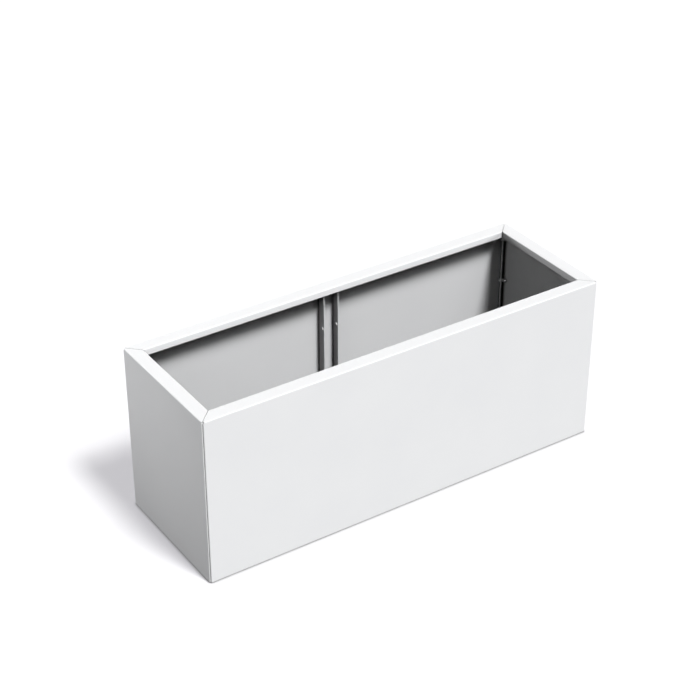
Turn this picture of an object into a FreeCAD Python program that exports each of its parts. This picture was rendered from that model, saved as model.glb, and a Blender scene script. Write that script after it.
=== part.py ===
import FreeCAD, Part
import math
import os

# A long folded-sheet planter: four panels bolted together at mitred corner flanges,
# a channel stiffener inside each long wall, and two loose drained floor trays.
# Frame: origin at the bottom centre, X along the length, Y from front to back, Z up. Millimetres.

Vector = FreeCAD.Vector
ROOT_TWO = math.sqrt(2.0)

# Outside sizes
length = 1500.0
depth = 500.0
height = 600.0

# Folded sheet of the panels
sheet = 2.0
bend_inside = 1.0

# Rim, lip and base flange of every panel
rim_width = 48.0
lip_drop = 23.0
base_width = 40.0
mitre_gap = 1.5
lip_corner_gap = 2.0
corner_relief_radius = 8.0
base_end_relief = 1.0

# Corner flanges, measured along the corner's diagonal from its sharp edge
corner_flange_reach = 42.0
corner_bolt_reach = 27.0
corner_flange_lift = 1.0
corner_flange_top_gap = 2.0

# Corner bolts
bolt_count = 4
lowest_bolt = 51.0
top_bolt_drop = 51.0
bolt_diameter = 8.0
bolt_length = 20.0
bolt_end_chamfer = 1.0
hex_width = 13.0
head_height = 5.3
nut_height = 6.5
hex_face_inset = 0.3
hex_chamfer_angle = 30.0
washer_diameter = 16.0
washer_thickness = 1.6
bolt_hole_clearance = 1.0
washer_clearance = 0.4
thread_clearance = 0.2

# Channel stiffeners, welded on inside the long walls
stiffener_width = 58.0
stiffener_depth = 34.0
stiffener_sheet = 3.0
stiffener_bend_inside = 2.0
stiffener_hole_diameter = 11.0
stiffener_hole_offset = 25.0
stiffener_hole_drop = 158.0

# Loose floor trays
tray_height = 25.0
tray_sheet = 2.0
tray_bend_inside = 1.0
tray_clearance = 3.0
tray_gap = 2.0
skirt_relief = 1.0
drain_diameter = 12.0
drain_pitch_x = 130.0
drain_pitch_y = 140.0
drain_margin = 70.0

# Values that follow from the sizes above
bend_outside = bend_inside + sheet
stiffener_bend_outside = stiffener_bend_inside + stiffener_sheet
tray_bend_outside = tray_bend_inside + tray_sheet
corner_tangent = bend_outside * (1.0 + ROOT_TWO)
wall_bottom = bend_outside
wall_top = height - bend_outside
bolt_hole_diameter = bolt_diameter + bolt_hole_clearance
bolt_pitch = (height - top_bolt_drop - lowest_bolt) / (bolt_count - 1)
bolt_heights = [lowest_bolt + bolt_pitch * i for i in range(bolt_count)]


def rounded_face(corners):
    """Flat face in the XY plane through (x, y, radius) corners, radius 0 for a sharp one."""
    points = [Vector(x, y, 0) for x, y, radius in corners]
    starts = []
    ends = []
    arcs = []
    for i, (x, y, radius) in enumerate(corners):
        here = points[i]
        if radius == 0:
            starts.append(here)
            ends.append(here)
            arcs.append(None)
            continue
        back = (points[i - 1] - here).normalize()
        ahead = (points[(i + 1) % len(points)] - here).normalize()
        half_angle = back.getAngle(ahead) / 2.0
        reach = radius / math.tan(half_angle)
        middle = (back + ahead).normalize()
        through = here + middle * (radius / math.sin(half_angle) - radius)
        starts.append(here + back * reach)
        ends.append(here + ahead * reach)
        arcs.append(Part.Arc(starts[i], through, ends[i]))
    edges = []
    for i in range(len(corners)):
        if arcs[i] is not None:
            edges.append(arcs[i].toShape())
        following = starts[(i + 1) % len(corners)]
        if ends[i].distanceToPoint(following) > 1e-6:
            edges.append(Part.LineSegment(ends[i], following).toShape())
    return Part.Face(Part.Wire(edges))


def plan_prism(corners, low, high):
    """Upright prism over a plan outline, from height low to height high."""
    prism = rounded_face(corners).extrude(Vector(0, 0, high - low))
    prism.translate(Vector(0, 0, low))
    return prism


def section_along_x(corners, start, end):
    """Prism along X over a section drawn as (y, z, radius) corners."""
    prism = rounded_face(corners).extrude(Vector(0, 0, end - start))
    turn = FreeCAD.Rotation(Vector(0, 1, 0), Vector(0, 0, 1), Vector(1, 0, 0), "ZXY")
    prism.Placement = FreeCAD.Placement(Vector(start, 0, 0), turn)
    return prism


def sharp(points):
    """Corners without rounding."""
    return [(x, y, 0) for x, y in points]


def turned(shape, degrees):
    """Copy of a shape turned about the upright axis through the origin."""
    copy = shape.copy()
    copy.rotate(Vector(0, 0, 0), Vector(0, 0, 1), degrees)
    return copy


def joined(pieces):
    """One solid out of touching pieces."""
    return pieces[0].fuse(pieces[1:]).removeSplitter()


# A panel is drawn in its own plan frame: X runs along the wall from one sharp corner (0) to the
# other (span), and Y runs inwards from its outer face (0).

def rim_strip(span):
    """Top bend, flat rim and inner bend of a panel, mitred at both ends."""
    section = [
        (0, wall_top, 0),
        (0, height, bend_outside),
        (rim_width, height, bend_outside),
        (rim_width, wall_top, 0),
        (rim_width - sheet, wall_top, 0),
        (rim_width - sheet, height - sheet, bend_inside),
        (sheet, height - sheet, bend_inside),
        (sheet, wall_top, 0),
    ]
    strip = section_along_x(section, 0, span)
    back_off = mitre_gap / ROOT_TWO
    mitred = sharp([
        (back_off, 0),
        (span - back_off, 0),
        (span - rim_width - back_off, rim_width),
        (rim_width + back_off, rim_width),
    ])
    strip = strip.common(plan_prism(mitred, wall_top, height))
    for corner in (0, span):
        relief = Part.makeCylinder(corner_relief_radius, bend_outside, Vector(corner, 0, wall_top))
        strip = strip.cut(relief)
    return strip


def lip_strip(span):
    """Down-turned lip along the rim's inner edge."""
    end = rim_width + lip_corner_gap
    return Part.makeBox(
        span - 2 * end,
        sheet,
        lip_drop - bend_outside,
        Vector(end, rim_width - sheet, height - lip_drop),
    )


def base_strip(span):
    """Bottom bend and base flange, cut back at 45 degrees to clear the corner flanges."""
    section = [
        (0, wall_bottom, 0),
        (0, 0, bend_outside),
        (base_width, 0, 0),
        (base_width, sheet, 0),
        (sheet, sheet, bend_inside),
        (sheet, wall_bottom, 0),
    ]
    strip = section_along_x(section, 0, span)
    first = corner_tangent + base_end_relief
    cut_back = sharp([
        (first, 0),
        (span - first, 0),
        (span - first - base_width, base_width),
        (first + base_width, base_width),
    ])
    return strip.common(plan_prism(cut_back, 0, wall_bottom))


def corner_flange():
    """Corner bend and drilled flange at the X = 0 end, its outer face on the mitre plane."""
    tip = corner_flange_reach / ROOT_TWO
    inner_corner = sheet * (1.0 + ROOT_TWO)
    plan = [
        (corner_tangent, 0, 0),
        (0, 0, bend_outside),
        (tip, tip, 0),
        (tip + sheet / ROOT_TWO, tip - sheet / ROOT_TWO, 0),
        (inner_corner, sheet, bend_inside),
        (corner_tangent, sheet, 0),
    ]
    flange = plan_prism(plan, corner_flange_lift, wall_top - corner_flange_top_gap)
    across = Vector(1, -1, 0).normalize()
    centre = corner_bolt_reach / ROOT_TWO
    for level in bolt_heights:
        hole = Part.makeCylinder(
            bolt_hole_diameter / 2.0,
            3 * sheet,
            Vector(centre, centre, level) - across * sheet,
            across,
        )
        flange = flange.cut(hole)
    return flange


def panel(span):
    """A whole folded panel in its own plan frame."""
    wall = Part.makeBox(
        span - 2 * corner_tangent,
        sheet,
        wall_top - wall_bottom,
        Vector(corner_tangent, 0, wall_bottom),
    )
    near = corner_flange()
    far = near.mirror(Vector(span / 2.0, 0, 0), Vector(1, 0, 0))
    return joined([wall, rim_strip(span), lip_strip(span), base_strip(span), near, far])


def placed_panel(span, distance, degrees):
    """A panel set with its outer face at a distance from the middle, facing front before the turn."""
    shape = panel(span)
    shape.translate(Vector(-span / 2.0, -distance, 0))
    return turned(shape, degrees)


def stiffener():
    """Channel on the inside of the front wall, with one hole in each leg."""
    wall_face = -depth / 2.0 + sheet
    half = stiffener_width / 2.0
    tip = wall_face + stiffener_depth
    web_face = wall_face + stiffener_sheet
    plan = [
        (-half, tip, 0),
        (-half, wall_face, stiffener_bend_outside),
        (half, wall_face, stiffener_bend_outside),
        (half, tip, 0),
        (half - stiffener_sheet, tip, 0),
        (half - stiffener_sheet, web_face, stiffener_bend_inside),
        (-half + stiffener_sheet, web_face, stiffener_bend_inside),
        (-half + stiffener_sheet, tip, 0),
    ]
    channel = plan_prism(plan, wall_bottom, wall_top)
    hole = Part.makeCylinder(
        stiffener_hole_diameter / 2.0,
        2 * stiffener_width,
        Vector(-stiffener_width, wall_face + stiffener_hole_offset, height - stiffener_hole_drop),
        Vector(1, 0, 0),
    )
    return channel.cut(hole)


def evenly(low, high, pitch):
    """Places between two limits, at a pitch or a little closer, with one on each limit."""
    steps = max(1, math.ceil((high - low) / pitch))
    return [low + (high - low) * i / steps for i in range(steps + 1)]


def tray_skirt(run):
    """Bend and skirt along X under the edge Y = 0 of a tray, as long as run, centred on X = 0."""
    section = [
        (tray_bend_outside, tray_height, 0),
        (0, tray_height, tray_bend_outside),
        (0, 0, 0),
        (tray_sheet, 0, 0),
        (tray_sheet, tray_height - tray_sheet, tray_bend_inside),
        (tray_bend_outside, tray_height - tray_sheet, 0),
    ]
    return section_along_x(section, -run / 2.0, run / 2.0)


def placed_skirt(low, high, edge, degrees):
    """A skirt from low to high along its edge, before the turn that faces it outwards."""
    skirt = tray_skirt(high - low)
    skirt.translate(Vector((low + high) / 2.0, -edge, 0))
    return turned(skirt, degrees)


def floor_tray():
    """Right-hand floor tray: a drained plate on four skirts, clear of corner flanges and stiffeners."""
    inner = tray_gap / 2.0
    outer = length / 2.0 - sheet - tray_clearance
    side = depth / 2.0 - sheet - tray_clearance
    flat_inner = inner + tray_bend_outside
    flat_outer = outer - tray_bend_outside
    flat_side = side - tray_bend_outside
    # Outer corners: a 45 degree line past the tips of the corner flanges
    corner_sum = length / 2.0 + depth / 2.0 - (corner_flange_reach + tray_clearance) * ROOT_TWO
    cut_x = corner_sum - flat_side
    cut_y = corner_sum - flat_outer
    # Inner corners: a notch round the stiffener
    notch_x = stiffener_width / 2.0 + tray_clearance
    notch_y = depth / 2.0 - sheet - stiffener_depth - tray_clearance
    outline = sharp([
        (flat_inner, -notch_y),
        (notch_x, -notch_y),
        (notch_x, -flat_side),
        (cut_x, -flat_side),
        (flat_outer, -cut_y),
        (flat_outer, cut_y),
        (cut_x, flat_side),
        (notch_x, flat_side),
        (notch_x, notch_y),
        (flat_inner, notch_y),
    ])
    plate = plan_prism(outline, tray_height - tray_sheet, tray_height)
    for x in evenly(inner + drain_margin, outer - drain_margin, drain_pitch_x):
        for y in evenly(-side + drain_margin, side - drain_margin, drain_pitch_y):
            plate = plate.cut(Part.makeCylinder(drain_diameter / 2.0, tray_height, Vector(x, y, 0)))
    front_low = notch_x + skirt_relief
    front_high = cut_x - skirt_relief
    tray = joined([
        plate,
        placed_skirt(front_low, front_high, side, 0),
        placed_skirt(-front_high, -front_low, side, 180),
        placed_skirt(-cut_y + skirt_relief, cut_y - skirt_relief, outer, 90),
        placed_skirt(-notch_y + skirt_relief, notch_y - skirt_relief, -inner, -90),
    ])
    tray.translate(Vector(0, 0, sheet))
    return tray


def hexagon(thickness):
    """Hexagonal prism from Z = 0 up, chamfered round its upper face."""
    corner_radius = hex_width / 2.0 / math.cos(math.pi / 6.0)
    angles = [math.pi / 3.0 * i for i in range(6)]
    corners = [(corner_radius * math.cos(a), corner_radius * math.sin(a)) for a in angles]
    face_radius = hex_width / 2.0 - hex_face_inset
    spread = thickness / math.tan(math.radians(hex_chamfer_angle))
    cone = Part.makeCone(face_radius + spread, face_radius, thickness)
    return plan_prism(sharp(corners), 0, thickness).common(cone)


def bolt():
    """Hexagon bolt along Z: the head below Z = 0, the shank above it."""
    head = hexagon(head_height)
    head.rotate(Vector(0, 0, 0), Vector(1, 0, 0), 180)
    radius = bolt_diameter / 2.0
    shank = Part.makeCylinder(radius, bolt_length - bolt_end_chamfer)
    end = Part.makeCone(
        radius,
        radius - bolt_end_chamfer,
        bolt_end_chamfer,
        Vector(0, 0, bolt_length - bolt_end_chamfer),
    )
    return joined([head, shank, end])


def washer():
    """Plain washer from Z = 0 up."""
    disc = Part.makeCylinder(washer_diameter / 2.0, washer_thickness)
    return disc.cut(Part.makeCylinder((bolt_diameter + washer_clearance) / 2.0, washer_thickness))


def nut():
    """Hexagon nut from Z = 0 up, chamfered face outwards."""
    bore = Part.makeCylinder((bolt_diameter + thread_clearance) / 2.0, nut_height)
    return hexagon(nut_height).cut(bore)


def corner_fasteners(side_x, side_y):
    """Bolts, washers and nuts of one corner, heads on the long panel's flange."""
    edge = Vector(side_x * length / 2.0, side_y * depth / 2.0, 0)
    inwards = Vector(-side_x, -side_y, 0).normalize()
    across = Vector(side_x, -side_y, 0).normalize()
    up = Vector(0, 0, 1)
    turn = FreeCAD.Rotation(up, across.cross(up), across, "ZXY")

    def set_along_axis(shape, level, offset):
        copy = shape.copy()
        place = edge + inwards * corner_bolt_reach + up * level + across * offset
        copy.Placement = FreeCAD.Placement(place, turn)
        return copy

    seat = sheet + washer_thickness
    bolts = [set_along_axis(bolt(), level, -seat) for level in bolt_heights]
    head_washers = [set_along_axis(washer(), level, -seat) for level in bolt_heights]
    nut_washers = [set_along_axis(washer(), level, sheet) for level in bolt_heights]
    nuts = [set_along_axis(nut(), level, seat) for level in bolt_heights]
    return {
        "corner_bolts": Part.makeCompound(bolts),
        "corner_washers": Part.makeCompound(head_washers + nut_washers),
        "corner_nuts": Part.makeCompound(nuts),
    }


nodes = {
    "front_panel": placed_panel(length, depth / 2.0, 0),
    "back_panel": placed_panel(length, depth / 2.0, 180),
    "right_end_panel": placed_panel(depth, length / 2.0, 90),
    "left_end_panel": placed_panel(depth, length / 2.0, -90),
    "front_stiffener": stiffener(),
    "back_stiffener": turned(stiffener(), 180),
    "right_floor_tray": floor_tray(),
    "left_floor_tray": turned(floor_tray(), 180),
}
for front_or_back, side_y in (("front", -1), ("back", 1)):
    for left_or_right, side_x in (("left", -1), ("right", 1)):
        for kind, group in corner_fasteners(side_x, side_y).items():
            nodes[f"{front_or_back}_{left_or_right}_{kind}"] = group

os.makedirs("parts", exist_ok=True)
for name, shape in nodes.items():
    shape.exportStep(f"parts/{name}.step")
    print(f"{name}: {len(shape.Solids)} solids, {shape.Volume:.0f} mm3, valid {shape.isValid()}")
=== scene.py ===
import math

import bmesh
import bpy
from mathutils import Matrix, Vector


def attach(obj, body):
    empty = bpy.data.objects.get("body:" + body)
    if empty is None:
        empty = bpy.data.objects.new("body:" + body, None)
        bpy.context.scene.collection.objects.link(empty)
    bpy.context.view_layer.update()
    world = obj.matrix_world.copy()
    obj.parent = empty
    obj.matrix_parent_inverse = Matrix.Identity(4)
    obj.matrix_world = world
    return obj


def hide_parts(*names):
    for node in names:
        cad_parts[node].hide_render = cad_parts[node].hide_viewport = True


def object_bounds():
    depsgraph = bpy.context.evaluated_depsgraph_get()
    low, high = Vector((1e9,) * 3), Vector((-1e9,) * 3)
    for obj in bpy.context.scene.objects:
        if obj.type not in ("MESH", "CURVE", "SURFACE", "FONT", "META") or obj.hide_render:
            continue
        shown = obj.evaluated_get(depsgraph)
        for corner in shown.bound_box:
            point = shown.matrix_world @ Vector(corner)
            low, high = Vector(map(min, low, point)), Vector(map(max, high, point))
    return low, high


# A long planter of folded white sheet on a pale floor, seen from its front left corner.
# Metres, in the construction's frame: X along the length, Y from front to back, Z up.

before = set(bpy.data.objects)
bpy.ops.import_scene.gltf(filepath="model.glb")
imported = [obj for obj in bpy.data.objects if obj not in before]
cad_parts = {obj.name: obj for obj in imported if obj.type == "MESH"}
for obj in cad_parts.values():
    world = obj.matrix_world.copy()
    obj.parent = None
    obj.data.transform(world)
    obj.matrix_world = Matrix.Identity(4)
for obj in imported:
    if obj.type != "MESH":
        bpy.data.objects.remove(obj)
cad_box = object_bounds()

MM = 0.001
ROOT_TWO = math.sqrt(2.0)
UP = Vector((0, 0, 1))

# Outside sizes, from the frame
LENGTH, DEPTH, HEIGHT = cad_box[1] - cad_box[0]

# Folded sheet of the panels
SHEET = 2 * MM
BEND = 3 * MM
RIM_WIDTH = 48 * MM
LIP_DROP = 23 * MM
BASE_WIDTH = 40 * MM
MITRE_GAP = 1.5 * MM
LIP_CORNER_GAP = 2 * MM
CORNER_RELIEF = 1 * MM
FLANGE_REACH = 42 * MM
FLANGE_LIFT = 1 * MM
FLANGE_TOP_GAP = 2 * MM

# Corner bolts
BOLT_REACH = 27 * MM
BOLT_COUNT = 4
LOWEST_BOLT = 51 * MM
TOP_BOLT_DROP = 51 * MM
BOLT_RADIUS = 4 * MM
BOLT_LENGTH = 20 * MM
BOLT_HOLE_RADIUS = 4.5 * MM
HEX_WIDTH = 13 * MM
HEX_FACE_INSET = 0.3 * MM
HEX_CHAMFER = math.radians(30)
HEAD_HEIGHT = 5.3 * MM
NUT_HEIGHT = 6.5 * MM
NUT_BORE_RADIUS = 4.1 * MM
NUT_COUNTERSINK = 0.5 * MM
WASHER_RADIUS = 8 * MM
WASHER_BORE_RADIUS = 4.2 * MM
WASHER_THICKNESS = 1.6 * MM
WASHER_EDGE = 0.2 * MM
THREAD_PITCH = 1.25 * MM
THREAD_DEPTH = 0.65 * MM
THREAD_TURNS = 6
THREAD_LEAD_IN = 1 * MM

# Channel stiffeners inside the long walls
CHANNEL_WIDTH = 58 * MM
CHANNEL_DEPTH = 34 * MM
CHANNEL_SHEET = 3 * MM
CHANNEL_BEND = 5 * MM
CHANNEL_HOLE_RADIUS = 5.5 * MM
CHANNEL_HOLE_OFFSET = 25 * MM
CHANNEL_HOLE_DROP = 158 * MM

# Loose floor trays
TRAY_HEIGHT = 25 * MM
TRAY_CLEARANCE = 3 * MM
TRAY_GAP = 2 * MM
SKIRT_RELIEF = 1 * MM
DRAIN_RADIUS = 6 * MM
DRAIN_PITCH_X = 130 * MM
DRAIN_PITCH_Y = 140 * MM
DRAIN_MARGIN = 70 * MM

# Fineness of the meshes
BEND_STEPS = 8
HOLE_STEPS = 32
ROUND_STEPS = 48
HOLE_CELL = 2.5 * MM
CAP_MARGIN = 12 * MM
CUT_EDGE = 0.25 * MM
CUT_EDGE_STEPS = 2
CUT_EDGE_ANGLE = math.radians(50)
SHARP_ANGLE = math.radians(40)
SAME_POINT = 0.001 * MM

# Values that follow from the sizes above: the corner relief is round about the panel's sharp corner,
# and CAP_END is where the rim's mitred cap ends and its plain run begins
CORNER_TANGENT = BEND * (1 + ROOT_TWO)
RELIEF_RADIUS = CORNER_TANGENT + CORNER_RELIEF
CAP_END = RIM_WIDTH + CAP_MARGIN
BOLT_PITCH = (HEIGHT - TOP_BOLT_DROP - LOWEST_BOLT) / (BOLT_COUNT - 1)
BOLT_LEVELS = [LOWEST_BOLT + BOLT_PITCH * i for i in range(BOLT_COUNT)]
BOLT_CELL = BOLT_HOLE_RADIUS + HOLE_CELL
BOLT_SEAT = SHEET + WASHER_THICKNESS
HEX_FACE_RADIUS = HEX_WIDTH / 2 - HEX_FACE_INSET
THREAD_ROOT = BOLT_RADIUS - THREAD_DEPTH
THREAD_TOP = BOLT_LENGTH - BOLT_SEAT - THREAD_LEAD_IN
THREAD_START = THREAD_TOP - (THREAD_TURNS + 1) * THREAD_PITCH

# One turn of the thread: share of the pitch, and radius
THREAD_PROFILE = (
    (0.0, THREAD_ROOT),
    (0.125, THREAD_ROOT),
    (0.4375, BOLT_RADIUS),
    (0.6875, BOLT_RADIUS),
)

# Colours, and the ranges of roughness
COAT_SHADES = ((0.867, 0.874, 0.887), (0.887, 0.893, 0.902))
# Painted shade for grooves, seams and inside corners, where shade falls
COAT_PAINTED_CREASE_SHADE = (0.16, 0.158, 0.155)
# Top faces painted darker: painted shade, with some dust
COAT_TOP_SHADE_AND_DUST = (0.742, 0.747, 0.754)
COAT_ROUGHNESS = (0.46, 0.56)
COAT_SPECULAR = 0.2
CRYSTAL_SHADES = ((0.16, 0.168, 0.175), (0.27, 0.278, 0.285))
CRYSTAL_ROUGHNESS = (0.34, 0.52)
ZINC_SHADES = ((0.60, 0.61, 0.645), (0.72, 0.715, 0.70))
ZINC_ROUGHNESS = (0.24, 0.40)

# Where painted shade lies: the reach of a crease and the openness over which its painted shade fades,
# the most that this shade covers, and the upward part of the normal over which top faces are painted
# darker, painted shade with some dust
CREASE_REACH = 9 * MM
CREASE_OPENNESS = (0.35, 0.97)
CREASE_SHADE_COVER = 0.85
TOP_SHADE_SLOPE = (0.5, 0.95)

# Ranges of a node's values: a whole share, and what most of a noise falls in
SHARE = (0, 1)
NOISE_SPREAD = (0.3, 0.7)

# Floor and world. The floor's white is a glow that only the camera and reflections see, plus what
# the lamps light, which is all that a shadow takes away, but for a painted contact shade that darkens
# the glow close to the planter's foot; other rays meet a plain grey floor.
FLOOR_GLOW = (0.442, 0.435, 0.46)
FLOOR_LIT = 0.505
# Painted contact shade: the glow's colour right at the planter's foot
FLOOR_PAINTED_CONTACT_SHADE = (0.05, 0.05, 0.05)
FLOOR_PLAIN = 0.6
FLOOR_REACH = 30.0
FLOOR_DROP = 0.5 * MM
SKY_LEVEL = 0.06
SKY_SEEN = 1.0

# Lamps. A direction points from the object to the lamp, and an angle is a sun's width in degrees.
SUNS = {
    "key_upper": {"towards": (0.125, -0.49, 1.0), "strength": 1.84, "angle": 11},
    "key_lower": {"towards": (0.125, -0.62, 1.0), "strength": 1.84, "angle": 11},
    "front_right_fill": {"towards": (0.35, -0.66, 0.66), "strength": 0.26, "angle": 20},
    "left_fill": {"towards": (-0.75, -0.35, 0.56), "strength": 0.28, "angle": 20},
    "level_front_fill": {"towards": (0.35, -0.93, 0.012), "strength": 0.18, "angle": 2},
    "low_front_fill": {"towards": (0.35, -0.93, 0.084), "strength": 0.64, "angle": 3.5},
    "low_left_fill": {"towards": (-0.95, 0.30, 0.05), "strength": 0.46, "angle": 4},
    "low_back_fill": {"towards": (0.30, 0.95, 0.05), "strength": 1.1, "angle": 8},
    "back_side_fill": {"towards": (0.25, 0.85, 0.34), "strength": 0.25, "angle": 20},
}
LEFT_LAMP_PLACE = (-1.5, 0.6, 0.6)
LEFT_LAMP_TOWARDS = (-1, 0, 0)
LEFT_LAMP_SIZE = (1.8, 0.05)
LEFT_LAMP_POWER = 3.0

# Camera of the photograph, for an image 699 pixels square
IMAGE_SIZE = 699
CAMERA_AZIMUTH = math.radians(-33.583)
CAMERA_ELEVATION = math.radians(31.891)
CAMERA_PLACE = Vector((-2.7427, -4.0262, 3.4956))
FOCAL_PIXELS = 1768.1
SENSOR_WIDTH = 36.0


class Skin:
    """Outer face of a folded sheet, gathered as polygons that share their corner points."""

    def __init__(self):
        self.mesh = bmesh.new()
        self.known = {}

    def point(self, place):
        """The vertex at a place, made when it is first asked for."""
        key = tuple(round(c / SAME_POINT) for c in place)
        if key not in self.known:
            self.known[key] = self.mesh.verts.new(place)
        return self.known[key]

    def face(self, places):
        self.mesh.faces.new([self.point(place) for place in places])

    def strip(self, rows):
        """Quads between rows of equally many places."""
        for near, far in zip(rows, rows[1:]):
            for i in range(len(near) - 1):
                self.face([near[i], near[i + 1], far[i + 1], far[i]])

    def holed_cell(self, place, low, high, centre, radius):
        """Rectangular cell in the plane that place(u, v) maps, with a round hole in it.
        Each side of the cell gets a polygon to its quarter of the hole, from the low corner round."""
        corners = [(low[0], low[1]), (high[0], low[1]), (high[0], high[1]), (low[0], high[1])]
        for side in range(4):
            first = math.radians(225 + 90 * side)
            arc = arc_steps(first, first + math.pi / 2, HOLE_STEPS // 4)
            quarter = [(centre[0] + radius * math.cos(a), centre[1] + radius * math.sin(a)) for a in arc]
            outline = [corners[side], corners[(side + 1) % 4], *reversed(quarter)]
            self.face([place(u, v) for u, v in outline])

    def holed_strip(self, place, us, vs, holes, radius):
        """Cells between the lines us and vs, holed where a hole's centre lies in one."""
        for u0, u1 in zip(us, us[1:]):
            for v0, v1 in zip(vs, vs[1:]):
                inside = [(u, v) for u, v in holes if u0 < u < u1 and v0 < v < v1]
                if inside:
                    self.holed_cell(place, (u0, v0), (u1, v1), inside[0], radius)
                else:
                    self.face([place(u0, v0), place(u1, v0), place(u1, v1), place(u0, v1)])

    def thick_mesh(self, name, thickness, outwards_at, outwards):
        """Closed mesh of that thickness behind the skin, with its cut edges rounded.
        The face nearest to outwards_at faces outwards, and the others follow it."""
        faces = self.mesh.faces
        bmesh.ops.recalc_face_normals(self.mesh, faces=faces)
        nearest = min(faces, key=lambda f: (f.calc_center_median() - outwards_at).length)
        if nearest.normal.dot(outwards) < 0:
            bmesh.ops.reverse_faces(self.mesh, faces=faces)
        mesh = bpy.data.meshes.new(name)
        self.mesh.to_mesh(mesh)
        self.mesh.free()
        maker = bpy.data.objects.new(name, mesh)
        bpy.context.scene.collection.objects.link(maker)
        solidify = maker.modifiers.new("Thickness", "SOLIDIFY")
        solidify.thickness = thickness
        solidify.offset = -1
        solidify.use_even_offset = True
        bevel = maker.modifiers.new("Cut edges", "BEVEL")
        bevel.width = CUT_EDGE
        bevel.segments = CUT_EDGE_STEPS
        bevel.limit_method = "ANGLE"
        bevel.angle_limit = CUT_EDGE_ANGLE
        return finished_mesh(maker)


def finished_mesh(maker):
    """The mesh of an object with its modifiers applied; the object itself goes."""
    graph = bpy.context.evaluated_depsgraph_get()
    mesh = bpy.data.meshes.new_from_object(maker.evaluated_get(graph))
    mesh.name = maker.name
    bpy.data.objects.remove(maker)
    return mesh


def arc_steps(start, end, count):
    """Angles from start to end in count equal steps, ends included."""
    return [start + (end - start) * i / count for i in range(count + 1)]


def evenly(low, high, pitch):
    """Places between two limits, at a pitch or a little closer, with one on each limit."""
    steps = max(1, math.ceil((high - low) / pitch))
    return [low + (high - low) * i / steps for i in range(steps + 1)]


def turn(degrees):
    """A turn about the planter's upright axis."""
    return Matrix.Rotation(math.radians(degrees), 4, "Z")


# Panels. A panel is drawn in its own plan frame: X runs along the wall from one sharp corner (0) to
# the other (span), and Y runs inwards from its outer face (0). Its left half is drawn and mirrored.

def rim_end(y):
    """Where the rim begins, y behind the outer face: on the corner relief, then on the mitre."""
    relief = math.sqrt(RELIEF_RADIUS * RELIEF_RADIUS - y * y) if y < RELIEF_RADIUS else 0
    return max(relief, y + MITRE_GAP / ROOT_TWO)


def bolt_rows():
    """Levels just below and above every bolt hole."""
    return [level + side * BOLT_CELL for level in BOLT_LEVELS for side in (-1, 1)]


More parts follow.
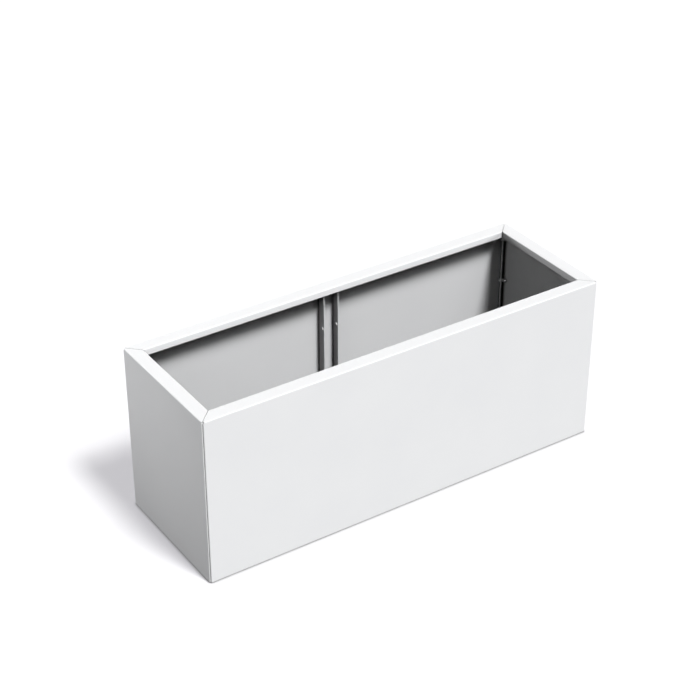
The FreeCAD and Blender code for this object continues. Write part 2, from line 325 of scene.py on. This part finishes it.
def half_panel(skin, span, across):
    """Adds the left half of a panel's skin, with across(x) giving the side that it is drawn on."""
    middle = span / 2
    wall_rows = [BEND, *bolt_rows(), HEIGHT - BEND - FLANGE_TOP_GAP, HEIGHT - BEND]
    columns = [CORNER_TANGENT, RELIEF_RADIUS, CAP_END, middle]
    skin.strip([[(across(x), 0, z) for x in columns] for z in wall_rows])

    def ribbon(stations, end):
        """A strip along the panel through (y, z) stations that begins at end(y)."""
        skin.strip([[(across(x), y, z) for x in (end(y), CAP_END, middle)] for y, z in stations])

    # The rim's outer bend, and its inner bend but for the last step
    quarter = arc_steps(0, math.pi / 2, BEND_STEPS)
    outer_bend = [(BEND - BEND * math.cos(a), HEIGHT - BEND + BEND * math.sin(a)) for a in quarter]
    ribbon(outer_bend, rim_end)
    rim_far = RIM_WIDTH - BEND
    inner_bend = [(rim_far + BEND * math.sin(a), HEIGHT - BEND + BEND * math.cos(a)) for a in quarter]
    ribbon(inner_bend[:-1], rim_end)

    # Flat rim: the relief's arc, which ends where it meets the mitre, then the mitre
    meeting = math.sqrt(2 * RELIEF_RADIUS * RELIEF_RADIUS - MITRE_GAP * MITRE_GAP / 2)
    mitre_start = (meeting - MITRE_GAP / ROOT_TWO) / 2
    relief = arc_steps(BEND, mitre_start, BEND_STEPS)
    cap = [(CAP_END, BEND), (CAP_END, rim_far), (rim_end(rim_far), rim_far)]
    cap += [(rim_end(y), y) for y in reversed(relief)]
    skin.face([(across(x), y, HEIGHT) for x, y in cap])
    run = [(CAP_END, BEND), (middle, BEND), (middle, rim_far), (CAP_END, rim_far)]
    skin.face([(across(x), y, HEIGHT) for x, y in run])

    # Last step of the inner bend, which the lip meets short of the mitre, and the lip
    lip_start = RIM_WIDTH + LIP_CORNER_GAP
    before_y, before_z = inner_bend[-2]
    lip_top = HEIGHT - BEND
    lip_foot = HEIGHT - LIP_DROP
    skin.face([
        (across(rim_end(before_y)), before_y, before_z),
        (across(CAP_END), before_y, before_z),
        (across(CAP_END), RIM_WIDTH, lip_top),
        (across(lip_start), RIM_WIDTH, lip_top),
        (across(rim_end(RIM_WIDTH)), RIM_WIDTH, lip_top),
    ])
    skin.face([
        (across(CAP_END), before_y, before_z),
        (across(middle), before_y, before_z),
        (across(middle), RIM_WIDTH, lip_top),
        (across(CAP_END), RIM_WIDTH, lip_top),
    ])
    lip_columns = (lip_start, CAP_END, middle)
    skin.strip([[(across(x), RIM_WIDTH, z) for x in lip_columns] for z in (lip_top, lip_foot)])

    # Base flange and its bend
    base = [(BASE_WIDTH, 0)]
    base += [(BEND - BEND * math.sin(a), BEND - BEND * math.cos(a)) for a in quarter]
    ribbon(base, lambda y: RELIEF_RADIUS + y)

    # Corner bend, in steps as fine as the others', and the drilled corner flange,
    # whose outer face is on the mitre plane
    corner_rows = [FLANGE_LIFT, *wall_rows[:-1]]
    corner_bend = [
        (CORNER_TANGENT - BEND * math.sin(a), BEND - BEND * math.cos(a))
        for a in arc_steps(0, math.radians(135), BEND_STEPS * 3 // 2)
    ]
    skin.strip([[(across(x), y, z) for z in corner_rows] for x, y in corner_bend])
    skin.holed_strip(
        lambda u, v: (across(u / ROOT_TWO), u / ROOT_TWO, v),
        [CORNER_TANGENT, BOLT_REACH - BOLT_CELL, BOLT_REACH + BOLT_CELL, FLANGE_REACH],
        corner_rows,
        [(BOLT_REACH, level) for level in BOLT_LEVELS],
        BOLT_HOLE_RADIUS,
    )


def panel_mesh(name, span):
    """Folded panel of a span, in its own plan frame."""
    skin = Skin()
    half_panel(skin, span, lambda x: x)
    half_panel(skin, span, lambda x: span - x)
    return skin.thick_mesh(name, SHEET, Vector((span / 2, 0, HEIGHT / 2)), Vector((0, -1, 0)))


def stiffener_mesh(name):
    """Channel on the inside of the front wall, with one hole in each leg."""
    skin = Skin()
    half = CHANNEL_WIDTH / 2
    wall_face = -DEPTH / 2 + SHEET
    hole_level = HEIGHT - CHANNEL_HOLE_DROP
    cell = CHANNEL_HOLE_RADIUS + HOLE_CELL
    rows = [BEND, hole_level - cell, hole_level + cell, HEIGHT - BEND]
    offsets = [CHANNEL_BEND, CHANNEL_HOLE_OFFSET - cell, CHANNEL_HOLE_OFFSET + cell, CHANNEL_DEPTH]
    straight = half - CHANNEL_BEND
    bend = [
        (straight + CHANNEL_BEND * math.cos(a), CHANNEL_BEND - CHANNEL_BEND * math.sin(a))
        for a in arc_steps(0, math.pi / 2, BEND_STEPS)
    ]
    bend.append((0, 0))
    for side in (-1, 1):
        skin.holed_strip(
            lambda u, v: (side * half, wall_face + u, v),
            offsets,
            rows,
            [(CHANNEL_HOLE_OFFSET, hole_level)],
            CHANNEL_HOLE_RADIUS,
        )
        skin.strip([[(side * x, wall_face + y, z) for z in rows] for x, y in bend])
    return skin.thick_mesh(name, CHANNEL_SHEET, Vector((0, wall_face, HEIGHT / 2)), Vector((0, -1, 0)))


def tray_mesh(name):
    """Right-hand floor tray: a drained plate on four skirts, clear of corner flanges and stiffeners."""
    skin = Skin()
    inner = TRAY_GAP / 2
    outer = LENGTH / 2 - SHEET - TRAY_CLEARANCE
    side = DEPTH / 2 - SHEET - TRAY_CLEARANCE
    flat_inner = inner + BEND
    flat_outer = outer - BEND
    flat_side = side - BEND
    corner_sum = LENGTH / 2 + DEPTH / 2 - (FLANGE_REACH + TRAY_CLEARANCE) * ROOT_TWO
    cut_x = corner_sum - flat_side
    cut_y = corner_sum - flat_outer
    notch_x = CHANNEL_WIDTH / 2 + TRAY_CLEARANCE
    notch_y = DEPTH / 2 - SHEET - CHANNEL_DEPTH - TRAY_CLEARANCE
    foot = SHEET
    top = SHEET + TRAY_HEIGHT

    # Each skirt: where its bend starts and ends on the plate, and the way it faces
    skirts = [
        ((notch_x + SKIRT_RELIEF, -flat_side), (cut_x - SKIRT_RELIEF, -flat_side), (0, -1)),
        ((flat_outer, -cut_y + SKIRT_RELIEF), (flat_outer, cut_y - SKIRT_RELIEF), (1, 0)),
        ((cut_x - SKIRT_RELIEF, flat_side), (notch_x + SKIRT_RELIEF, flat_side), (0, 1)),
        ((flat_inner, notch_y - SKIRT_RELIEF), (flat_inner, -notch_y + SKIRT_RELIEF), (-1, 0)),
    ]

    # Flat plate inside its outline, less the drain holes
    outline = [
        (flat_inner, -notch_y), (notch_x, -notch_y), (notch_x, -flat_side),
        skirts[0][0], skirts[0][1],
        (cut_x, -flat_side), (flat_outer, -cut_y),
        skirts[1][0], skirts[1][1],
        (flat_outer, cut_y), (cut_x, flat_side),
        skirts[2][0], skirts[2][1],
        (notch_x, flat_side), (notch_x, notch_y), (flat_inner, notch_y),
        skirts[3][0], skirts[3][1],
    ]
    loops = [outline]
    angles = arc_steps(0, 2 * math.pi, HOLE_STEPS)[:-1]
    for x in evenly(inner + DRAIN_MARGIN, outer - DRAIN_MARGIN, DRAIN_PITCH_X):
        for y in evenly(-side + DRAIN_MARGIN, side - DRAIN_MARGIN, DRAIN_PITCH_Y):
            hole = [(x + DRAIN_RADIUS * math.cos(a), y + DRAIN_RADIUS * math.sin(a)) for a in angles]
            loops.append(hole)
    edges = []
    for loop in loops:
        points = [skin.point((x, y, top)) for x, y in loop]
        edges += [skin.mesh.edges.new(ends) for ends in zip(points, points[1:] + points[:1])]
    bmesh.ops.triangle_fill(skin.mesh, use_beauty=True, use_dissolve=False, edges=edges)

    # Skirts, as a profile of distance out and level
    profile = [
        (BEND * math.sin(a), top - BEND + BEND * math.cos(a))
        for a in arc_steps(0, math.pi / 2, BEND_STEPS)
    ]
    profile.append((BEND, foot))
    for start, end, facing in skirts:
        ends = (Vector(start), Vector(end))
        way = Vector(facing)
        skin.strip([[(*(p + way * out), z) for p in ends] for out, z in profile])
    return skin.thick_mesh(name, SHEET, Vector((LENGTH / 4, 0, top)), UP)


# Fasteners. Each is drawn about its own Z axis out of rings of equally many points.

def ring(radius_at, level_at):
    """A ring of points; radius_at and level_at give radius and height at an angle."""
    points = []
    for i in range(ROUND_STEPS):
        angle = 2 * math.pi * i / ROUND_STEPS
        radius = radius_at(angle)
        points.append(Vector((radius * math.cos(angle), radius * math.sin(angle), level_at(angle))))
    return points


def circle(radius, level):
    return ring(lambda a: radius, lambda a: level)


def hex_radius(angle):
    """Radius of the hexagon's side at an angle, with a corner at angle 0."""
    within = angle % (math.pi / 3) - math.pi / 6
    return HEX_WIDTH / 2 / math.cos(within)


def hex_ring(level, way):
    """Edge of a hexagon's chamfer round its face at a level, which faces way (1 up, -1 down)."""
    slope = way * math.tan(HEX_CHAMFER)
    return ring(hex_radius, lambda a: level - slope * (hex_radius(a) - HEX_FACE_RADIUS))


def helix_ring(radius, turns_up):
    """A ring that starts some turns up the thread and climbs one pitch on its way round."""
    rise = THREAD_START + turns_up * THREAD_PITCH
    climb = THREAD_PITCH / (2 * math.pi)
    return ring(lambda a: radius, lambda a: rise + climb * a)


def thread_rings():
    """Rings up the thread from the shank. Each leads on to the one a turn above it, so that crests
    and roots are unbroken lines."""
    rings = [
        helix_ring(radius, number + share)
        for number in range(THREAD_TURNS)
        for share, radius in THREAD_PROFILE
    ]
    rings.append(helix_ring(THREAD_ROOT, THREAD_TURNS))
    return rings


def placed_rings(mesh, rings, place):
    """Vertices for rings of points, moved to a place."""
    return [[mesh.verts.new(place @ point) for point in points] for points in rings]


def join_rings(mesh, near, far):
    """Quads all the way round between two rings of vertices."""
    for i in range(ROUND_STEPS):
        mesh.faces.new((near[i - 1], near[i], far[i], far[i - 1]))


def join_open_rings(mesh, near, far):
    """Quads between two rings of vertices, with none from their last points to their first."""
    for i in range(1, ROUND_STEPS):
        mesh.faces.new((near[i - 1], near[i], far[i], far[i - 1]))


def closed_shell(mesh, rings, place):
    """Adds a shell through rings of points, the last of which is joined to the first."""
    placed = placed_rings(mesh, rings, place)
    for near, far in zip(placed, placed[1:] + placed[:1]):
        join_rings(mesh, near, far)


def add_bolt(mesh, place):
    """Hexagon bolt: its head below the washer's seat, a threaded end past the nut."""
    seat = -BOLT_SEAT
    head_foot = seat - HEAD_HEIGHT
    head_and_shank = [
        circle(HEX_FACE_RADIUS, head_foot),
        hex_ring(head_foot, -1),
        hex_ring(seat, 1),
        circle(HEX_FACE_RADIUS, seat),
        circle(BOLT_RADIUS, seat),
        circle(BOLT_RADIUS, THREAD_START - THREAD_DEPTH),
        circle(THREAD_ROOT, THREAD_START),
    ]
    lead_in = [
        circle(THREAD_ROOT, THREAD_TOP + THREAD_LEAD_IN / 2),
        circle(THREAD_ROOT - THREAD_LEAD_IN / 2, THREAD_TOP + THREAD_LEAD_IN),
    ]
    lower = placed_rings(mesh, head_and_shank, place)
    thread = placed_rings(mesh, thread_rings(), place)
    upper = placed_rings(mesh, lead_in, place)

    mesh.faces.new(tuple(reversed(lower[0])))
    for near, far in zip(lower, lower[1:]):
        join_rings(mesh, near, far)
    foot = lower[-1]
    end = upper[0]
    for near, far in zip([foot, *thread], [*thread, end]):
        join_open_rings(mesh, near, far)
    join_rings(mesh, end, upper[1])
    mesh.faces.new(tuple(upper[1]))

    # The seam up the thread, where a ring's last point leads on to the first point of the ring a turn
    # above it, and the openings that the first and the last turn leave there
    per_turn = len(THREAD_PROFILE)
    above = thread[per_turn:]
    for near, far, near_above, far_above in zip(thread, thread[1:], above, above[1:]):
        mesh.faces.new((near[-1], near_above[0], far_above[0], far[-1]))
    first_turn = [points[0] for points in thread[:per_turn + 1]]
    mesh.faces.new((foot[-1], foot[0], *first_turn, thread[0][-1]))
    last_turn = [points[-1] for points in thread[-per_turn - 1:]]
    mesh.faces.new((*last_turn, end[-1], end[0], thread[-1][0]))


def add_washer(mesh, place, foot):
    """Plain washer with softened edges, from a height up."""
    top = foot + WASHER_THICKNESS
    rings = [
        circle(WASHER_BORE_RADIUS, foot),
        circle(WASHER_RADIUS - WASHER_EDGE, foot),
        circle(WASHER_RADIUS, foot + WASHER_EDGE),
        circle(WASHER_RADIUS, top - WASHER_EDGE),
        circle(WASHER_RADIUS - WASHER_EDGE, top),
        circle(WASHER_BORE_RADIUS, top),
    ]
    closed_shell(mesh, rings, place)


def add_washer_pair(mesh, place):
    """A washer under the bolt's head and one under the nut."""
    add_washer(mesh, place, -BOLT_SEAT)
    add_washer(mesh, place, SHEET)


def add_nut(mesh, place):
    """Hexagon nut chamfered round both faces, its bore countersunk."""
    foot = BOLT_SEAT
    top = foot + NUT_HEIGHT
    rings = [
        circle(NUT_BORE_RADIUS, foot + NUT_COUNTERSINK),
        circle(NUT_BORE_RADIUS + NUT_COUNTERSINK, foot),
        circle(HEX_FACE_RADIUS, foot),
        hex_ring(foot, -1),
        hex_ring(top, 1),
        circle(HEX_FACE_RADIUS, top),
        circle(NUT_BORE_RADIUS + NUT_COUNTERSINK, top),
        circle(NUT_BORE_RADIUS, top - NUT_COUNTERSINK),
    ]
    closed_shell(mesh, rings, place)


def corner_fasteners(name, add, side_x, side_y):
    """One mesh of a corner's four fasteners of one kind, along the bolts' axes."""
    edge = Vector((side_x * LENGTH / 2, side_y * DEPTH / 2, 0))
    inwards = Vector((-side_x, -side_y, 0)).normalized()
    across = Vector((side_x, -side_y, 0)).normalized()
    turned = Matrix((UP, across.cross(UP), across)).transposed().to_4x4()
    mesh = bmesh.new()
    for level in BOLT_LEVELS:
        add(mesh, Matrix.Translation(edge + inwards * BOLT_REACH + UP * level) @ turned)
    bmesh.ops.recalc_face_normals(mesh, faces=mesh.faces)
    made = bpy.data.meshes.new(name)
    mesh.to_mesh(made)
    mesh.free()
    return made


# Materials. Each is made of nodes on object coordinates, in metres.

def new_material(name):
    """A material with its node tree and its main shader."""
    material = bpy.data.materials.new(name)
    material.use_nodes = True
    shader = material.node_tree.nodes["Principled BSDF"]
    return material, material.node_tree, shader


def textured(tree, kind):
    """A texture node on object coordinates."""
    coordinates = tree.nodes.new("ShaderNodeTexCoord")
    texture = tree.nodes.new(kind)
    tree.links.new(coordinates.outputs["Object"], texture.inputs["Vector"])
    return texture


def noise(tree, scale, detail):
    """A cloudy value, with its scale per metre and its layers of detail."""
    texture = textured(tree, "ShaderNodeTexNoise")
    texture.inputs["Scale"].default_value = scale
    texture.inputs["Detail"].default_value = detail
    return texture.outputs["Fac"]


def cells(tree, scale):
    """A value for each cell of an irregular crystal pattern."""
    texture = textured(tree, "ShaderNodeTexVoronoi")
    texture.inputs["Scale"].default_value = scale
    return texture.outputs["Color"]


def ranged(tree, value, onto, spread=NOISE_SPREAD):
    """A value mapped from the range that it is spread over onto another range."""
    node = tree.nodes.new("ShaderNodeMapRange")
    node.inputs["From Min"].default_value, node.inputs["From Max"].default_value = spread
    node.inputs["To Min"].default_value, node.inputs["To Max"].default_value = onto
    tree.links.new(value, node.inputs["Value"])
    return node.outputs["Result"]


def blended(tree, factor, first, second):
    """A colour between two, by a factor. Each is three numbers or another node's output."""
    node = tree.nodes.new("ShaderNodeMix")
    node.data_type = "RGBA"
    tree.links.new(factor, node.inputs["Factor"])
    sockets = [socket for socket in node.inputs if socket.type == "RGBA"]
    for socket, colour in zip(sockets, (first, second)):
        if isinstance(colour, tuple):
            socket.default_value = (*colour, 1)
        else:
            tree.links.new(colour, socket)
    return [socket for socket in node.outputs if socket.type == "RGBA"][0]


def bumped(tree, height, depth, strength, under=None):
    """A surface normal with a relief of some depth, laid over another relief if there is one."""
    node = tree.nodes.new("ShaderNodeBump")
    node.inputs["Distance"].default_value = depth
    node.inputs["Strength"].default_value = strength
    tree.links.new(height, node.inputs["Height"])
    if under is not None:
        tree.links.new(under, node.inputs["Normal"])
    return node.outputs["Normal"]


def facing_up(tree):
    """1 on faces that look straight up, 0 on upright ones."""
    coordinates = tree.nodes.new("ShaderNodeTexCoord")
    split = tree.nodes.new("ShaderNodeSeparateXYZ")
    tree.links.new(coordinates.outputs["Normal"], split.inputs["Vector"])
    return ranged(tree, split.outputs["Z"], SHARE, TOP_SHADE_SLOPE)


def crease_shade_share(tree):
    """Share of painted shade: the most deep in grooves and inside corners, 0 on open faces."""
    occlusion = tree.nodes.new("ShaderNodeAmbientOcclusion")
    occlusion.inputs["Distance"].default_value = CREASE_REACH
    return ranged(tree, occlusion.outputs["AO"], (CREASE_SHADE_COVER, 0), CREASE_OPENNESS)


def white_coat():
    """Matt white powder coat: faint clouding, painted shade in creases, top faces painted darker as
    painted shade with some dust, orange peel, fine grain.
    """
    material, tree, shader = new_material("white_powder_coat")
    cloud = ranged(tree, noise(tree, scale=4, detail=3), SHARE)
    clean = blended(tree, cloud, *COAT_SHADES)
    # Painted shade: the coat darkens in grooves and inside corners, where shade falls
    crease_shaded = blended(tree, crease_shade_share(tree), clean, COAT_PAINTED_CREASE_SHADE)
    # Top faces painted darker, as painted shade with some dust
    top_shaded_and_dusty = blended(tree, facing_up(tree), crease_shaded, COAT_TOP_SHADE_AND_DUST)
    tree.links.new(top_shaded_and_dusty, shader.inputs["Base Color"])
    roughness = ranged(tree, noise(tree, scale=60, detail=3), COAT_ROUGHNESS)
    tree.links.new(roughness, shader.inputs["Roughness"])
    peel = bumped(tree, noise(tree, scale=320, detail=2), depth=0.12 * MM, strength=0.35)
    grain = bumped(tree, noise(tree, scale=1900, detail=2), depth=0.03 * MM, strength=0.35, under=peel)
    tree.links.new(grain, shader.inputs["Normal"])
    shader.inputs["Specular IOR Level"].default_value = COAT_SPECULAR
    return material


def galvanised_sheet():
    """Galvanised steel: dull crystals that differ in brightness, gloss and tilt."""
    material, tree, shader = new_material("galvanised_steel")
    crystal = cells(tree, scale=110)
    colour = blended(tree, ranged(tree, crystal, SHARE, SHARE), *CRYSTAL_SHADES)
    tree.links.new(colour, shader.inputs["Base Color"])
    roughness = ranged(tree, crystal, CRYSTAL_ROUGHNESS, SHARE)
    tree.links.new(roughness, shader.inputs["Roughness"])
    relief = bumped(tree, crystal, depth=0.05 * MM, strength=0.25)
    grain = bumped(tree, noise(tree, scale=700, detail=3), depth=0.03 * MM, strength=0.3, under=relief)
    tree.links.new(grain, shader.inputs["Normal"])
    shader.inputs["Metallic"].default_value = 1.0
    return material


def zinc_plate():
    """Bright zinc plate with a faint haze."""
    material, tree, shader = new_material("zinc_plate")
    haze = noise(tree, scale=350, detail=4)
    colour = blended(tree, ranged(tree, haze, SHARE), *ZINC_SHADES)
    tree.links.new(colour, shader.inputs["Base Color"])
    tree.links.new(ranged(tree, haze, ZINC_ROUGHNESS), shader.inputs["Roughness"])
    grain = bumped(tree, noise(tree, scale=2600, detail=2), depth=0.02 * MM, strength=0.3)
    tree.links.new(grain, shader.inputs["Normal"])
    shader.inputs["Metallic"].default_value = 1.0
    return material


# Pieces

def add_piece(name, mesh, node, body, material):
    """A finished piece that stands for a node of the construction and moves with its body."""
    mesh.materials.clear()
    mesh.materials.append(material)
    mesh.shade_smooth()
    piece = bpy.data.objects.new(name, mesh)
    bpy.context.scene.collection.objects.link(piece)
    normals = piece.modifiers.new("Flat faces stay flat", "WEIGHTED_NORMAL")
    normals.keep_sharp = True
    mesh.set_sharp_from_angle(angle=SHARP_ANGLE)
    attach(piece, body)
    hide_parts(node)


coat = white_coat()
galvanised = galvanised_sheet()
zinc = zinc_plate()

for node, span, distance, degrees in (
    ("front_panel", LENGTH, DEPTH / 2, 0),
    ("back_panel", LENGTH, DEPTH / 2, 180),
    ("right_end_panel", DEPTH, LENGTH / 2, 90),
    ("left_end_panel", DEPTH, LENGTH / 2, -90),
):
    panel = panel_mesh(node + "_mesh", span)
    panel.transform(turn(degrees) @ Matrix.Translation((-span / 2, -distance, 0)))
    add_piece(node + "_folded", panel, node, "shell", coat)

for node, degrees in (("front_stiffener", 0), ("back_stiffener", 180)):
    channel = stiffener_mesh(node + "_mesh")
    channel.transform(turn(degrees))
    add_piece(node + "_channel", channel, node, "shell", coat)

for side, degrees in (("right", 0), ("left", 180)):
    node = side + "_floor_tray"
    tray = tray_mesh(side + "_tray_mesh")
    tray.transform(turn(degrees))
    add_piece(node + "_drained", tray, node, side + "_floor", galvanised)

FASTENERS = (("bolts", add_bolt), ("washers", add_washer_pair), ("nuts", add_nut))
for front_or_back, side_y in (("front", -1), ("back", 1)):
    for left_or_right, side_x in (("left", -1), ("right", 1)):
        for kind, add in FASTENERS:
            node = f"{front_or_back}_{left_or_right}_corner_{kind}"
            group = corner_fasteners(node + "_mesh", add, side_x, side_y)
            add_piece(node + "_turned", group, node, "shell", zinc)


# Stage: a pale floor and world that the camera sees as white, and soft studio light

def bare_material(name):
    """A material with nothing in its node tree but the output."""
    material = bpy.data.materials.new(name)
    material.use_nodes = True
    tree = material.node_tree
    tree.nodes.clear()
    return material, tree, tree.nodes.new("ShaderNodeOutputMaterial")


def diffuse(tree, level):
    """A plain grey shader."""
    shader = tree.nodes.new("ShaderNodeBsdfDiffuse")
    shader.inputs["Color"].default_value = (level, level, level, 1)
    return shader.outputs["BSDF"]


def background(tree, level):
    """White light of some level from all round."""
    shader = tree.nodes.new("ShaderNodeBackground")
    shader.inputs["Color"].default_value = (1, 1, 1, 1)
    shader.inputs["Strength"].default_value = level
    return shader.outputs["Background"]


def seen_directly(tree):
    """1 for rays from the camera, from gloss and through glass, 0 for the others."""
    path = tree.nodes.new("ShaderNodeLightPath")
    either = path.outputs["Is Camera Ray"]
    for output in ("Is Glossy Ray", "Is Transmission Ray"):
        larger = tree.nodes.new("ShaderNodeMath")
        larger.operation = "MAXIMUM"
        tree.links.new(either, larger.inputs[0])
        tree.links.new(path.outputs[output], larger.inputs[1])
        either = larger.outputs["Value"]
    return either


def shown_or_plain(tree, shown, plain):
    """The shader shown to rays that see it directly, and the plain one to the others."""
    choose = tree.nodes.new("ShaderNodeMixShader")
    tree.links.new(seen_directly(tree), choose.inputs["Fac"])
    tree.links.new(plain, choose.inputs[1])
    tree.links.new(shown, choose.inputs[2])
    return choose.outputs["Shader"]


def floor_material():
    """White floor that keeps the planter's shadow, with a painted contact shade that darkens it close to
    its foot.
    """
    material, tree, output = bare_material("pale_floor")
    glow = tree.nodes.new("ShaderNodeEmission")
    # Painted contact shade: the glow darkens close to the planter's foot
    glow_with_contact_shade = blended(tree, crease_shade_share(tree), FLOOR_GLOW, FLOOR_PAINTED_CONTACT_SHADE)
    tree.links.new(glow_with_contact_shade, glow.inputs["Color"])
    shown = tree.nodes.new("ShaderNodeAddShader")
    tree.links.new(glow.outputs["Emission"], shown.inputs[0])
    tree.links.new(diffuse(tree, FLOOR_LIT), shown.inputs[1])
    surface = shown_or_plain(tree, shown.outputs["Shader"], diffuse(tree, FLOOR_PLAIN))
    tree.links.new(surface, output.inputs["Surface"])
    return material


def covered_ground_material():
    """The floor under the planter, which the studio's white doesn't reach."""
    material, tree, output = bare_material("covered_ground")
    tree.links.new(diffuse(tree, FLOOR_LIT), output.inputs["Surface"])
    return material


def add_floor():
    """A wide square floor, with a rectangle of covered ground under the planter."""
    mesh = bpy.data.meshes.new("floor_mesh")
    corners = [(-1, -1), (1, -1), (1, 1), (-1, 1)]
    outer = [(x * FLOOR_REACH, y * FLOOR_REACH, -FLOOR_DROP) for x, y in corners]
    inner = [(x * (LENGTH / 2 - BEND), y * (DEPTH / 2 - BEND), -FLOOR_DROP) for x, y in corners]
    open_floor = [(i, (i + 1) % 4, 4 + (i + 1) % 4, 4 + i) for i in range(4)]
    covered_ground = (4, 5, 6, 7)
    mesh.from_pydata(outer + inner, [], [*open_floor, covered_ground])
    mesh.materials.append(floor_material())
    mesh.materials.append(covered_ground_material())
    mesh.polygons[len(open_floor)].material_index = 1
    floor = bpy.data.objects.new("floor", mesh)
    bpy.context.scene.collection.objects.link(floor)


def add_world():
    world = bpy.data.worlds.new("pale_world")
    world.use_nodes = True
    tree = world.node_tree
    tree.nodes.clear()
    output = tree.nodes.new("ShaderNodeOutputWorld")
    surface = shown_or_plain(tree, background(tree, SKY_SEEN), background(tree, SKY_LEVEL))
    tree.links.new(surface, output.inputs["Surface"])
    bpy.context.scene.world = world


def add_lamp(name, light, towards):
    """A lamp that shines back from a direction."""
    lamp = bpy.data.objects.new(name, light)
    lamp.rotation_euler = Vector(towards).to_track_quat("Z", "Y").to_euler()
    bpy.context.scene.collection.objects.link(lamp)
    return lamp


def add_sun(name, towards, strength, angle):
    sun = bpy.data.lights.new(name, "SUN")
    sun.energy = strength
    sun.angle = math.radians(angle)
    add_lamp(name, sun, towards)


def add_lights():
    for name, sun in SUNS.items():
        add_sun(name, **sun)
    area = bpy.data.lights.new("left_lamp", "AREA")
    area.shape = "RECTANGLE"
    area.size, area.size_y = LEFT_LAMP_SIZE
    area.energy = LEFT_LAMP_POWER
    lamp = add_lamp("left_lamp", area, LEFT_LAMP_TOWARDS)
    lamp.location = LEFT_LAMP_PLACE
    lamp.visible_camera = False


def add_camera():
    data = bpy.data.cameras.new("photo_camera")
    data.sensor_width = SENSOR_WIDTH
    data.lens = FOCAL_PIXELS * SENSOR_WIDTH / IMAGE_SIZE
    camera = bpy.data.objects.new("photo_camera", data)
    flat = math.cos(CAMERA_ELEVATION)
    back = Vector((
        math.sin(CAMERA_AZIMUTH) * flat,
        -math.cos(CAMERA_AZIMUTH) * flat,
        math.sin(CAMERA_ELEVATION),
    ))
    camera.location = CAMERA_PLACE
    camera.rotation_euler = (-back).to_track_quat("-Z", "Y").to_euler()
    bpy.context.scene.collection.objects.link(camera)
    bpy.context.scene.camera = camera


add_floor()
add_world()
add_lights()
add_camera()
bpy.context.scene.view_settings.view_transform = "Standard"

# The fill lamps stand in for light that bounces between the faces, so none is traced
bpy.context.scene.cycles.diffuse_bounces = 0
